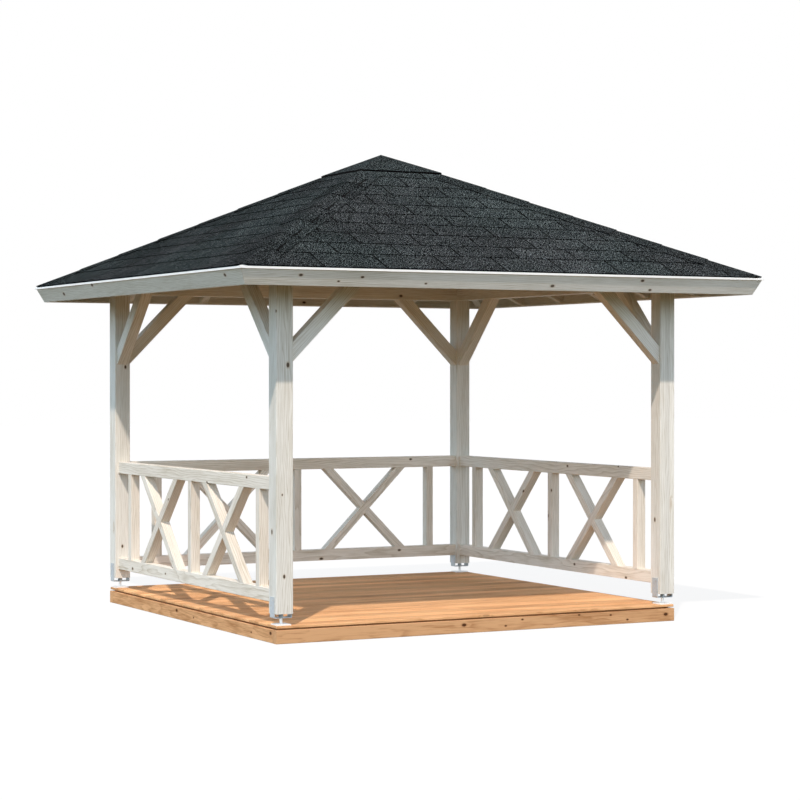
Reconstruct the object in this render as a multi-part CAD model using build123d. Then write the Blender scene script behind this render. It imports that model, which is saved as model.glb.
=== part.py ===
"""A square garden gazebo: deck, four posts, three railings and a shingled pyramid roof.

Millimetres, +Z up. The origin is the centre of the deck's underside. The open entrance is the
front, towards -Y. The left side is towards -X.
"""
import os
from math import cos, radians, sin, sqrt, tan

from build123d import *

# Frame
FRAME_SIDE = 3100            # outside of the posts and of the deck, both ways
POST = 120                   # square post
POST_LENGTH = 2166
EDGE_ROUND = 4               # radius on the long edges of the planed timber

# Deck
DECK_BEAM_HEIGHT = 90
DECK_BEAM_WIDTH = 60
DECK_BOARD = 28              # thickness of the boarded floor
DECK_BOARD_SETBACK = 8       # the boards stop this far inside the beams' outer faces
JOIST_WIDTH = 45
JOIST_COUNT = 5

# Post shoes
SHOE_BASE = 100              # square base plate
SHOE_BASE_THICKNESS = 8
SHOE_ROD = 20                # diameter
SHOE_RISE = 47               # from the floor to the underside of the saddle
SADDLE_THICKNESS = 5
SADDLE_WIDTH = 65
SADDLE_HEIGHT = 140          # height of the side plates
SADDLE_BEND = 9              # outer radius where the side plates turn up
SADDLE_NUT = 30              # across flats
SADDLE_NUT_HEIGHT = 16
ROD_END = 4                  # the rod ends this far above its nut
POST_GAP = 24                # from the saddle up to the post's foot

# Braces under the wall plates
BRACE_WIDTH = 90             # square to its length, as seen from outside
BRACE_DEPTH = 86
BRACE_REACH = 533            # from the plate's underside down the post, and along the plate

# Railings
RAILING_HEIGHT = 965         # top of the top rail above the floor
RAILING_CLEARANCE = 144      # bottom rail above the floor
RAIL_HEIGHT = 88
RAIL_DEPTH = 70              # rails, studs and crosses are this deep
STUD = 60                    # width of the studs and of the cross members
STUD_GAP = 210               # between a post and the stud beside it

# Wall plates and roof
PLATE_HEIGHT = 160           # the wall plates are as wide as the posts
ROOF_PITCH = 25.3            # degrees
EAVES_OVERHANG = 447         # from the posts' outer faces to the outer edge of the roof
ROOF_SKIN = 25               # roof boards with their shingles, square to the slope
RAFTER_WIDTH = 60
RAFTER_DEPTH = 95            # square to the slope
RAFTER_SEAT = 34             # length of the seat cut on the wall plate
HIP_WIDTH = 60
KING_POST = 180              # block under the peak, across flats
KING_POST_FACES = 8          # one for each long rafter and hip rafter
KING_POST_DROP = 60          # the block ends this far below the rafters
KING_POST_TAPER = 25
JACK_PITCH = 620             # spacing of the rafters along the eaves
JACKS_EACH_SIDE = 2          # shorter rafters on each side of a slope's long rafter
FASCIA_WIDTH = 117
FASCIA_THICKNESS = 22
DRIP_HEIGHT = 12             # white strip along the top of the fascia
DRIP_PROUD = 2               # it stands this far in front of the fascia
CAP_SIDE = 660               # square cover over the peak
CAP_THICKNESS = 4

# Levels and distances that follow
HALF = FRAME_SIDE / 2
POST_CENTRE = HALF - POST / 2
POST_INNER = HALF - POST
FLOOR = DECK_BEAM_HEIGHT + DECK_BOARD
SADDLE_Z = FLOOR + SHOE_RISE
POST_FOOT = SADDLE_Z + SADDLE_THICKNESS + POST_GAP
PLATE_Z = POST_FOOT + POST_LENGTH
PLATE_TOP = PLATE_Z + PLATE_HEIGHT
RAIL_TOP = FLOOR + RAILING_HEIGHT
RAIL_BOTTOM = FLOOR + RAILING_CLEARANCE

SLOPE_SIN = sin(radians(ROOF_PITCH))
SLOPE_COS = cos(radians(ROOF_PITCH))
SLOPE_TAN = tan(radians(ROOF_PITCH))
PEAK = PLATE_TOP + (HALF - RAFTER_SEAT) * SLOPE_TAN + (RAFTER_DEPTH + ROOF_SKIN) / SLOPE_COS
DRIP_FACE = (HALF + EAVES_OVERHANG) / SLOPE_COS      # distances down the slope from the peak
FASCIA_FACE = DRIP_FACE - DRIP_PROUD
EAVES = FASCIA_FACE - FASCIA_THICKNESS
FAR = 2 * (HALF + EAVES_OVERHANG)                    # longer than anything in the roof
ROOM_DEPTH = FAR / 4                                 # deeper below the roof than any rafter

# Turns about the vertical axis that take the front side to each side
SIDES = {"front": 0, "right": 90, "back": 180, "left": 270}
RAILED_SIDES = ("left", "back", "right")
# Which way each corner lies along X and Y
CORNERS = {"front_left": (-1, -1), "front_right": (1, -1), "back_right": (1, 1), "back_left": (-1, 1)}


def block(x, y, z):
    """A box given as three (from, to) pairs."""
    spans = [(min(pair), max(pair)) for pair in (x, y, z)]
    middle = [(low + high) / 2 for low, high in spans]
    return Pos(*middle) * Box(*[high - low for low, high in spans])


def prism(plane, points, thickness):
    """The closed outline on a plane, as thick as told, half to each side of the plane."""
    outline = make_face(plane * Polyline(*points, close=True))
    return extrude(outline, thickness / 2, both=True)


def turned(shape, angle):
    return Rot(0, 0, angle) * shape


def planed(timber, direction):
    """The timber with its long edges rounded, which lie along the direction."""
    return fillet(timber.edges().filter_by(Axis((0, 0, 0), direction)), EDGE_ROUND)


def planed_below(timber):
    """The timber, lying along X, with only its lower long edges rounded."""
    return fillet(timber.edges().filter_by(Axis.X).sort_by(Axis.Z)[:2], EDGE_ROUND)


def surface(distance, depth=0):
    """Height at a level distance from the middle, at a depth square to the roof surface."""
    return PEAK - distance * SLOPE_TAN - depth / SLOPE_COS


def slope_point(run, depth):
    """Section point (level distance from the middle, height) at a run down the slope."""
    return (run * SLOPE_COS - depth * SLOPE_SIN, PEAK - run * SLOPE_SIN - depth * SLOPE_COS)


# Deck ----------------------------------------------------------------------------------------

def deck_floor():
    edge = HALF - DECK_BOARD_SETBACK
    return [block((-edge, edge), (-edge, edge), (DECK_BEAM_HEIGHT, FLOOR))]


def deck_beams_front_back():
    """Edge beams that run through at the corners."""
    beam = block((-HALF, HALF), (-HALF, DECK_BEAM_WIDTH - HALF), (0, DECK_BEAM_HEIGHT))
    beam = planed(beam, (1, 0, 0))
    return [beam, turned(beam, 180)]


def deck_beams_sides():
    """Edge beams between the front and the back ones."""
    inner = HALF - DECK_BEAM_WIDTH
    beam = planed(block((-HALF, -inner), (-inner, inner), (0, DECK_BEAM_HEIGHT)), (0, 1, 0))
    return [beam, turned(beam, 180)]


def deck_joists():
    inner = HALF - DECK_BEAM_WIDTH
    pitch = 2 * inner / (JOIST_COUNT + 1)
    joist = block((-JOIST_WIDTH / 2, JOIST_WIDTH / 2), (-inner, inner), (0, DECK_BEAM_HEIGHT))
    return [Pos(pitch * (number + 1) - inner, 0, 0) * joist for number in range(JOIST_COUNT)]


# Posts and their shoes -----------------------------------------------------------------------

def bent(shape, radius):
    """The block with its lower edges along Y rounded, where a plate is bent upwards."""
    return fillet(shape.edges().filter_by(Axis.Y).sort_by(Axis.Z)[:2], radius)


def post_shoe(corner):
    """Base plate, rod and saddle whose side plates hold the post clear of the floor."""
    base = block((-SHOE_BASE / 2, SHOE_BASE / 2), (-SHOE_BASE / 2, SHOE_BASE / 2),
                 (FLOOR, FLOOR + SHOE_BASE_THICKNESS))
    saddle_top = SADDLE_Z + SADDLE_THICKNESS
    outer = POST / 2 + SADDLE_THICKNESS
    saddle = block((-outer, outer), (-SADDLE_WIDTH / 2, SADDLE_WIDTH / 2),
                   (SADDLE_Z, SADDLE_Z + SADDLE_HEIGHT))
    inside = block((-POST / 2, POST / 2), (-SADDLE_WIDTH, SADDLE_WIDTH),
                   (saddle_top, SADDLE_Z + 2 * SADDLE_HEIGHT))
    saddle = bent(saddle, SADDLE_BEND) - bent(inside, SADDLE_BEND - SADDLE_THICKNESS)
    nut = Pos(0, 0, saddle_top) * extrude(
        RegularPolygon(SADDLE_NUT / 2, 6, major_radius=False), SADDLE_NUT_HEIGHT)
    rod_length = saddle_top + SADDLE_NUT_HEIGHT + ROD_END - FLOOR
    rod = Pos(0, 0, FLOOR + rod_length / 2) * Cylinder(SHOE_ROD / 2, rod_length)
    across, along = CORNERS[corner]
    return [Pos(across * POST_CENTRE, along * POST_CENTRE, 0) * (base + saddle + nut + rod)]


def post(corner):
    across, along = CORNERS[corner]
    timber = block((across * POST_INNER, across * HALF), (along * POST_INNER, along * HALF),
                   (POST_FOOT, PLATE_Z))
    return [planed(timber, (0, 0, 1))]


# Braces --------------------------------------------------------------------------------------

def braces(side):
    """Two braces, each from a post's inner face up to the plate's underside."""
    cut = BRACE_WIDTH * sqrt(2)                      # length of the slanted end cuts
    foot = PLATE_Z - BRACE_REACH
    head = BRACE_REACH - POST_INNER
    outline = [(-POST_INNER, foot), (head, PLATE_Z), (head - cut, PLATE_Z), (-POST_INNER, foot + cut)]
    brace = Pos(0, -POST_CENTRE, 0) * planed(prism(Plane.XZ, outline, BRACE_DEPTH), (1, 0, 1))
    return [turned(piece, SIDES[side]) for piece in (brace, mirror(brace, Plane.YZ))]


# Railings ------------------------------------------------------------------------------------

CROSS_LOW = RAIL_BOTTOM + RAIL_HEIGHT
CROSS_HIGH = RAIL_TOP - RAIL_HEIGHT
CROSS_RISE = CROSS_HIGH - CROSS_LOW
STUD_CENTRE = POST_INNER - STUD_GAP - STUD / 2
CROSS_CENTRE = STUD_CENTRE / 2
RAILING_OUTER = POST_CENTRE + RAIL_DEPTH / 2
RAILING_INNER = POST_CENTRE - RAIL_DEPTH / 2


def railing_rails(side):
    """Top and bottom rail between two posts, notched where a post shoe's side plate is in the way."""
    pieces = []
    for low in (RAIL_BOTTOM, CROSS_HIGH):
        rail = block((-POST_INNER, POST_INNER), (-RAILING_OUTER, -RAILING_INNER), (low, low + RAIL_HEIGHT))
        rail = turned(planed(rail, (1, 0, 0)), SIDES[side])
        for corner in CORNERS:
            rail -= post_shoe(corner)[0]
        pieces.append(rail)
    return pieces


def railing_studs(side):
    stud = block((-STUD / 2, STUD / 2), (-RAILING_OUTER, -RAILING_INNER), (CROSS_LOW, CROSS_HIGH))
    stud = planed(stud, (0, 0, 1))
    places = (-STUD_CENTRE, 0, STUD_CENTRE)
    return [turned(Pos(place, 0, 0) * stud, SIDES[side]) for place in places]


def cross_member(centre, lean):
    """A diagonal at 45 degrees through a cross's centre, square-edged and with no lap."""
    cut = STUD * sqrt(2) / 2                         # half of its slanted end
    low = centre - lean * CROSS_RISE / 2
    high = centre + lean * CROSS_RISE / 2
    outline = [(low - cut, CROSS_LOW), (low + cut, CROSS_LOW), (high + cut, CROSS_HIGH),
               (high - cut, CROSS_HIGH)]
    return Pos(0, -POST_CENTRE, 0) * prism(Plane.XZ, outline, RAIL_DEPTH)


def railing_diagonals(side, lean):
    """Both diagonals that lean one way: 1 rises to the right, -1 to the left, from outside.

    Each is halved over the other one of its cross. The left cross has its rising member whole
    on the outer face, and the right cross its falling one.
    """
    pieces = []
    for centre, whole_outside in ((-CROSS_CENTRE, 1), (CROSS_CENTRE, -1)):
        lapped_face = RAILING_INNER if lean == whole_outside else RAILING_OUTER
        half = block((-POST_INNER, POST_INNER), (-POST_CENTRE, -lapped_face), (CROSS_LOW, CROSS_HIGH))
        lap = cross_member(centre, -lean) & half
        member = planed(cross_member(centre, lean), (lean, 0, 1))
        pieces.append(turned(member - lap, SIDES[side]))
    return pieces


# Wall plates ---------------------------------------------------------------------------------

def wall_plate(side):
    """A beam over the posts, halved at the corners: the front and back ones lie underneath."""
    plate = planed_below(block((-HALF, HALF), (-HALF, -POST_INNER), (PLATE_Z, PLATE_TOP)))
    middle = (PLATE_Z + PLATE_TOP) / 2
    lap = (middle, PLATE_TOP) if side in ("front", "back") else (PLATE_Z, middle)
    for end in (-1, 1):
        plate -= block((end * POST_INNER, end * HALF), (-HALF, -POST_INNER), lap)
    return [turned(plate, SIDES[side])]


# Roof ----------------------------------------------------------------------------------------

def quarter():
    """The quarter of the plan that the front slope covers, as a tall prism."""
    return prism(Plane.XY, [(0, 0), (-FAR, -FAR), (FAR, -FAR)], 4 * PEAK)


def front_length(section):
    """A length along the front, from a section of (distance from the middle, height) points."""
    return prism(Plane.YZ, [(-distance, height) for distance, height in section], 2 * FAR)


def roof_slope(side):
    section = [(0, PEAK), slope_point(EAVES, 0), slope_point(EAVES, ROOF_SKIN), (0, surface(0, ROOF_SKIN))]
    return [turned(front_length(section) & quarter(), SIDES[side])]


def fascia(side):
    """A board square to the slope, mitred at both hips."""
    bottom = DRIP_HEIGHT + FASCIA_WIDTH
    section = [slope_point(EAVES, DRIP_HEIGHT), slope_point(FASCIA_FACE, DRIP_HEIGHT),
               slope_point(FASCIA_FACE, bottom), slope_point(EAVES, bottom)]
    return [turned(planed_below(front_length(section)) & quarter(), SIDES[side])]


def drip_strip(side):
    section = [slope_point(EAVES, 0), slope_point(DRIP_FACE, 0),
               slope_point(DRIP_FACE, DRIP_HEIGHT), slope_point(EAVES, DRIP_HEIGHT)]
    return [turned(front_length(section) & quarter(), SIDES[side])]


def room_for_rafters():
    """The space under the roof boards and inside the fascias, less the wall plates."""
    eaves_out, eaves_z = slope_point(EAVES, ROOF_SKIN)
    foot_out, foot_z = slope_point(EAVES, ROOM_DEPTH)
    ridge = front_length([(-foot_out, foot_z), (-eaves_out, eaves_z), (0, surface(0, ROOF_SKIN)),
                          (eaves_out, eaves_z), (foot_out, foot_z)])
    room = ridge & turned(ridge, 90)
    for side in SIDES:
        room -= wall_plate(side)[0]
    return room


ROOM = room_for_rafters()


def rafter_underside(distance):
    return surface(distance, ROOF_SKIN + RAFTER_DEPTH)


def rafter_plank(place, width):
    """A front rafter at a place along the eaves, before it is cut to the room it has."""
    near = KING_POST / 2
    outline = [(-near, PEAK), (-near, rafter_underside(near)), (-FAR, rafter_underside(FAR)), (-FAR, PEAK)]
    return Pos(place, 0, 0) * prism(Plane.YZ, outline, width)


def long_rafters():
    rafter = rafter_plank(0, RAFTER_WIDTH) & ROOM
    return [turned(rafter, angle) for angle in SIDES.values()]


def jack_rafters():
    """Shorter rafters whose heads are cut to lie against the hip rafters."""
    hip_side = HIP_WIDTH / sqrt(2)                   # half a hip's width, measured along Y
    between_hips = Pos(0, -hip_side, 0) * quarter()
    pieces = []
    for angle in SIDES.values():
        for number in range(1, JACKS_EACH_SIDE + 1):
            for hand in (-1, 1):
                jack = rafter_plank(hand * number * JACK_PITCH, RAFTER_WIDTH) & between_hips & ROOM
                pieces.append(turned(jack, angle))
    return pieces


def hip_rafters():
    """Corner rafters with their top edges bevelled to both slopes."""
    near = KING_POST / 2
    outline = [(near, PEAK), (near, rafter_underside(near / sqrt(2))),
               (FAR, rafter_underside(FAR / sqrt(2))), (FAR, PEAK)]
    hip = turned(prism(Plane.XZ, outline, HIP_WIDTH), 45) & ROOM
    return [turned(hip, angle) for angle in SIDES.values()]


def king_post():
    """The block that the long rafters and the hip rafters butt against."""
    low = rafter_underside(KING_POST / 2) - KING_POST_DROP
    outline = Rot(0, 0, 180 / KING_POST_FACES) * RegularPolygon(
        KING_POST / 2, KING_POST_FACES, major_radius=False)
    core = Pos(0, 0, low) * extrude(outline, PEAK - low)
    lower_edges = core.faces().sort_by(Axis.Z)[0].edges()
    return [chamfer(lower_edges, KING_POST_TAPER) & ROOM]


def roof_cap():
    """Four thin covers over the peak, mitred at the hips."""
    edge = CAP_SIDE / 2
    section = [(0, surface(0, -CAP_THICKNESS)), (edge, surface(edge, -CAP_THICKNESS)),
               (edge, surface(edge)), (0, PEAK)]
    cover = front_length(section) & quarter()
    return [turned(cover, angle) for angle in SIDES.values()]


# Nodes ---------------------------------------------------------------------------------------

def nodes():
    parts = {
        "deck_floor": deck_floor(),
        "deck_beams_front_back": deck_beams_front_back(),
        "deck_beams_sides": deck_beams_sides(),
        "deck_joists": deck_joists(),
        "long_rafters": long_rafters(),
        "jack_rafters": jack_rafters(),
        "hip_rafters": hip_rafters(),
        "king_post": king_post(),
        "roof_cap": roof_cap(),
    }
    for corner in CORNERS:
        parts["post_shoe_" + corner] = post_shoe(corner)
        parts["post_" + corner] = post(corner)
    for side in SIDES:
        parts["braces_" + side] = braces(side)
        parts["wall_plate_" + side] = wall_plate(side)
        parts["roof_slope_" + side] = roof_slope(side)
    for name, pair in (("front_back", ("front", "back")), ("sides", ("left", "right"))):
        parts["fascia_" + name] = [piece for side in pair for piece in fascia(side)]
        parts["drip_strip_" + name] = [piece for side in pair for piece in drip_strip(side)]
    for side in RAILED_SIDES:
        parts["railing_rails_" + side] = railing_rails(side)
        parts["railing_studs_" + side] = railing_studs(side)
        parts["railing_rising_" + side] = railing_diagonals(side, 1)
        parts["railing_falling_" + side] = railing_diagonals(side, -1)
    return parts


def main():
    os.makedirs("parts", exist_ok=True)
    for name, pieces in nodes().items():
        solids = [solid for piece in pieces for solid in piece.solids()]
        shape = solids[0] if len(solids) == 1 else Compound(children=solids)
        export_step(shape, "parts/" + name + ".step")


main()
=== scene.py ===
"""Looks of the square garden gazebo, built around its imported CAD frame.

Metres, +Z up. The open entrance is the front, towards -Y. The left side is towards -X.
"""
import math
import random

import bmesh
import bpy
from mathutils import Matrix, Vector, noise


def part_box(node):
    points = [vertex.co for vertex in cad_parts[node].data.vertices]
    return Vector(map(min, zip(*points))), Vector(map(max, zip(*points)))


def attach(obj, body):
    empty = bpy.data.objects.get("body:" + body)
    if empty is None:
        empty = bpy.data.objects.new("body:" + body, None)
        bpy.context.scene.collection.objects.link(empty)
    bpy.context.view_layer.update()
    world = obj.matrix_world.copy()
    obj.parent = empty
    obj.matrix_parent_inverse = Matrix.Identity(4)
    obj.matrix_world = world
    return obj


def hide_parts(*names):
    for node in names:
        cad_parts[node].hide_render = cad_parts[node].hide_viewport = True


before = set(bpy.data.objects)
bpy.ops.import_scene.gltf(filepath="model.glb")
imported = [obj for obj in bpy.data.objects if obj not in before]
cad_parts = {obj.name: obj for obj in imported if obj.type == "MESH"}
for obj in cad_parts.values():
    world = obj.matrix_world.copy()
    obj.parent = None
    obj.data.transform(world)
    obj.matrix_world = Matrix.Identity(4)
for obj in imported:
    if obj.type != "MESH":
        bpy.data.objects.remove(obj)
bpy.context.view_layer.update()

SIDES = {"front": 0, "right": 90, "back": 180, "left": 270}      # turns of the front about Z
CORNERS = ("front_left", "front_right", "back_right", "back_left")

# The roof, read from the frame
slope_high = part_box("roof_slope_front")[1]
cap_low, cap_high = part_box("roof_cap")
PEAK = slope_high.z
CAP_EDGE = cap_high.x
PITCH = math.atan2(PEAK - cap_low.z, CAP_EDGE)
SIN, COS = math.sin(PITCH), math.cos(PITCH)
EAVES_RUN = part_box("drip_strip_front_back")[1].x / COS      # from the peak to the roof's edge
FASCIA_RUN = slope_high.x / COS                             # and to the fascias' inner faces
SKIN = 0.025                    # depth of the roof's skin, square to the slope


# Materials -------------------------------------------------------------------

class Tree:
    """Short calls that add nodes to a material or to a node group."""

    def __init__(self, tree):
        self.tree = tree

    def node(self, kind, *values, **settings):
        """A node with its settings; each value fills the input of the same number."""
        made = self.tree.nodes.new(kind)
        for key, value in settings.items():
            setattr(made, key, value)
        for number, value in enumerate(values):
            self.fill(made.inputs[number], value)
        return made

    def fill(self, target, value):
        if value is None:
            return
        if isinstance(value, bpy.types.NodeSocket):
            self.tree.links.new(value, target)
        elif isinstance(value, (tuple, list)) and len(value) == 3 and target.type == "RGBA":
            target.default_value = (*value, 1)
        else:
            target.default_value = value

    def math(self, operation, *values, clamp=False):
        return self.node("ShaderNodeMath", *values, operation=operation, use_clamp=clamp).outputs[0]

    def times(self, first, second):
        return self.math("MULTIPLY", first, second)

    def vector(self, operation, *values):
        made = self.node("ShaderNodeVectorMath", *values, operation=operation)
        single = operation in ("DOT_PRODUCT", "LENGTH")
        return made.outputs[1 if single else 0]

    def join(self, x, y, z):
        return self.node("ShaderNodeCombineXYZ", x, y, z).outputs[0]

    def split(self, vector):
        return self.node("ShaderNodeSeparateXYZ", vector).outputs

    def filled(self, made, names, values):
        """The node's first output, once its inputs of these names hold the values."""
        for name, value in zip(names, values):
            self.fill(made.inputs[name], value)
        return made.outputs[0]

    def noise(self, vector, scale, detail, roughness):
        return self.filled(self.node("ShaderNodeTexNoise"),
                           ("Vector", "Scale", "Detail", "Roughness"),
                           (vector, scale, detail, roughness))

    def cells(self, vector, scale):
        """Outputs of a cell pattern: Distance from a cell's centre, and a random Color."""
        made = self.node("ShaderNodeTexVoronoi", vector, feature="F1")
        made.inputs["Scale"].default_value = scale
        return made.outputs

    def span(self, value, low, high, to_low=0.0, to_high=1.0, smooth=False):
        """The value's place between low and high, sent to a new range and held inside it."""
        kind = "SMOOTHSTEP" if smooth else "LINEAR"
        return self.filled(self.node("ShaderNodeMapRange", interpolation_type=kind),
                           ("Value", "From Min", "From Max", "To Min", "To Max"),
                           (value, low, high, to_low, to_high))

    def mix(self, factor, first, second, blend="MIX"):
        made = self.node("ShaderNodeMix", data_type="RGBA", blend_type=blend)
        self.filled(made, (0, 6, 7), (factor, first, second))
        return made.outputs[2]

    def tint(self, colour, second):
        """The colour multiplied by a second one."""
        return self.mix(1.0, colour, second, blend="MULTIPLY")

    def bump(self, height, strength, distance):
        return self.filled(self.node("ShaderNodeBump"), ("Height", "Strength", "Distance"),
                           (height, strength, distance))

    def attribute(self, name):
        return self.node("ShaderNodeAttribute", attribute_name=name).outputs["Fac"]

    def place(self):
        return self.node("ShaderNodeTexCoord").outputs["Object"]


def material(name):
    """A new material's tree, and its Principled shader."""
    made = bpy.data.materials.new(name)
    made.use_nodes = True
    tree = Tree(made.node_tree)
    return made, tree, made.node_tree.nodes["Principled BSDF"]


def dress(t, shader, colour, rough, gloss, height, strength, depth):
    """Fills in the shader, with bumps of this strength and depth. A gloss of None stays."""
    t.fill(shader.inputs["Base Color"], colour)
    t.fill(shader.inputs["Roughness"], rough)
    t.fill(shader.inputs["Specular IOR Level"], gloss)
    t.fill(shader.inputs["Normal"], t.bump(height, strength, depth))


def grey(value):
    return (value,) * 3


SEED_SHIFT = (7.31, 3.17, 5.73)     # from one timber's piece of the figure to the next
KNOT_CELLS = (1.5, 4.2, 4.2)        # places for a knot in a metre, along the grain and across
EMPTY_CELLS = 0.42                  # share of them without one
KNOT_SIZES = (0.022, 0.060)
PITH = 0.08                         # how far the pith can be from a timber's own zero
GROWTH = 92.0                       # rings in a metre


def figure_group():
    """Wood figure. Its vector runs along the grain in X; Seed gives each timber its own piece."""
    group = bpy.data.node_groups.new("wood_figure", "ShaderNodeTree")
    for name, kind in (("Vector", "NodeSocketVector"), ("Seed", "NodeSocketFloat")):
        group.interface.new_socket(name, in_out="INPUT", socket_type=kind)
    for name in ("Rings", "Fibre", "Knot", "Halo", "Tone", "Blotch"):
        group.interface.new_socket(name, in_out="OUTPUT", socket_type="NodeSocketFloat")
    t = Tree(group)
    given, seed = t.node("NodeGroupInput").outputs[:2]
    where = t.vector("ADD", given, t.vector("SCALE", SEED_SHIFT, None, None, seed))

    # Knots: cells stretched along the grain, some of which hold one
    cells = t.cells(t.vector("MULTIPLY", where, KNOT_CELLS), 1.0)
    chance, width, _ = t.split(cells["Color"])
    held = t.math("GREATER_THAN", chance, EMPTY_CELLS)
    nearness = t.math("DIVIDE", cells["Distance"], t.span(width, 0, 1, *KNOT_SIZES))
    knot = t.times(t.span(nearness, 0.65, 1.0, 1, 0, smooth=True), held)
    halo = t.times(t.span(nearness, 0.9, 2.8, 1, 0, smooth=True), held)

    # Growth rings about a pith beside the timber, which wander along it and bend round knots
    wander = t.noise(t.vector("MULTIPLY", where, (0.9, 5, 5)), 1.0, 3.0, 0.55)
    bend = t.math("MULTIPLY_ADD", halo, 0.012, t.times(wander, 0.10))
    pith = [t.math("MULTIPLY_ADD", t.math(wave, t.times(seed, speed)), PITH, part)
            for wave, speed, part in zip(("SINE", "COSINE"), (12.9, 7.7), t.split(given)[1:])]
    radius = t.vector("LENGTH", t.join(0, *pith))
    phase = t.math("FRACT", t.times(t.math("ADD", radius, bend), GROWTH))
    rings = t.times(t.math("POWER", phase, 2.6), t.span(phase, 1.0, 0.9, 0, 1))

    fibre = t.noise(t.vector("MULTIPLY", where, (7, 230, 230)), 1.0, 4.0, 0.65)
    blotch = t.noise(t.vector("MULTIPLY", where, (1.3, 9, 9)), 1.0, 2.0, 0.5)
    tone = t.node("ShaderNodeTexWhiteNoise", None, seed, noise_dimensions="1D").outputs[0]
    t.node("NodeGroupOutput", rings, fibre, knot, halo, tone, blotch)
    return group


FIGURE = figure_group()

# What each wood looks like: light and dark figure, knot and the ring round it, how strongly
# rings, fibres and blotches show, how much one timber differs from the next, how strongly its
# scattered knots show, and its gloss and roughness
PAINTED = dict(light=(0.89, 0.86, 0.80), dark=(0.58, 0.525, 0.43), knot=(0.055, 0.029, 0.013),
               ring=(0.52, 0.38, 0.24), rings=0.72, fibre=1.15, blotch=1.1, tone=0.08, knots=1.0,
               gloss=0.20, rough=(0.55, 0.75))
DECKING = dict(light=(0.95, 0.54, 0.268), dark=(0.52, 0.238, 0.095), knot=(0.070, 0.027, 0.012),
               ring=(0.36, 0.155, 0.065), rings=0.60, fibre=1.6, blotch=2.0, tone=0.26, knots=0.35,
               gloss=0.03, rough=(0.65, 0.85))
WOODS = {
    "painted": PAINTED,
    # The railing: a warmer copy of the painted wood, partly the timbers' own tint and partly
    # painted warm light from the sunlit deck
    "railing": PAINTED | dict(light=(0.89, 0.825, 0.735), dark=(0.58, 0.50, 0.39)),
    "shaded": PAINTED | dict(light=(0.83, 0.80, 0.72), dark=(0.54, 0.49, 0.39)),
    "decking": DECKING,
    "beams": DECKING | dict(light=(0.83, 0.475, 0.245), dark=(0.48, 0.225, 0.094), knots=1.0),
    "side_beams": DECKING | dict(light=(0.77, 0.44, 0.225), dark=(0.42, 0.20, 0.084), knots=1.0),
}
KNOT_STRETCH = 0.62             # knots are longer along the grain
KNOT_EDGES = ((0.8, 1.05), (1.0, 1.8))      # in radii, where a placed knot and its ring fade out
GLUE_LINE = 0.0009              # half its width


def glued(t, place, number, way, edge, thickness, count):
    """A number for each glued layer, and 1 on the lines between layers."""
    layer = t.math("DIVIDE", t.math("SUBTRACT", t.vector("DOT_PRODUCT", place, way), edge),
                   thickness)
    number = t.math("MULTIPLY_ADD", t.math("FLOOR", layer), 2.3, number)
    side = t.math("ABSOLUTE", t.math("SUBTRACT", t.math("FRACT", layer), 0.5))
    # The outer faces lie on a layer's edge too, and have no line
    inside = t.math("ABSOLUTE", t.math("SUBTRACT", layer, count / 2))
    line = t.times(t.math("LESS_THAN", inside, count / 2 - 0.5),
                   t.span(side, 0.5 - GLUE_LINE / thickness, 0.5, 0, 1))
    return number, line


def placed_knots(t, place, grain, knots):
    """Where the knots that stand out are, and where the rings round them are."""
    masks = [0.0, 0.0]
    for where, radius in knots:
        apart = t.vector("SUBTRACT", place, where)
        length = t.times(t.vector("DOT_PRODUCT", apart, grain), KNOT_STRETCH - 1)
        apart = t.vector("ADD", apart, t.vector("SCALE", grain, None, None, length))
        away = t.math("DIVIDE", t.vector("LENGTH", apart), radius)
        masks = [t.math("MAXIMUM", mask, t.span(away, near, far, 1, 0, smooth=True))
                 for mask, (near, far) in zip(masks, KNOT_EDGES)]
    return masks


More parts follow.
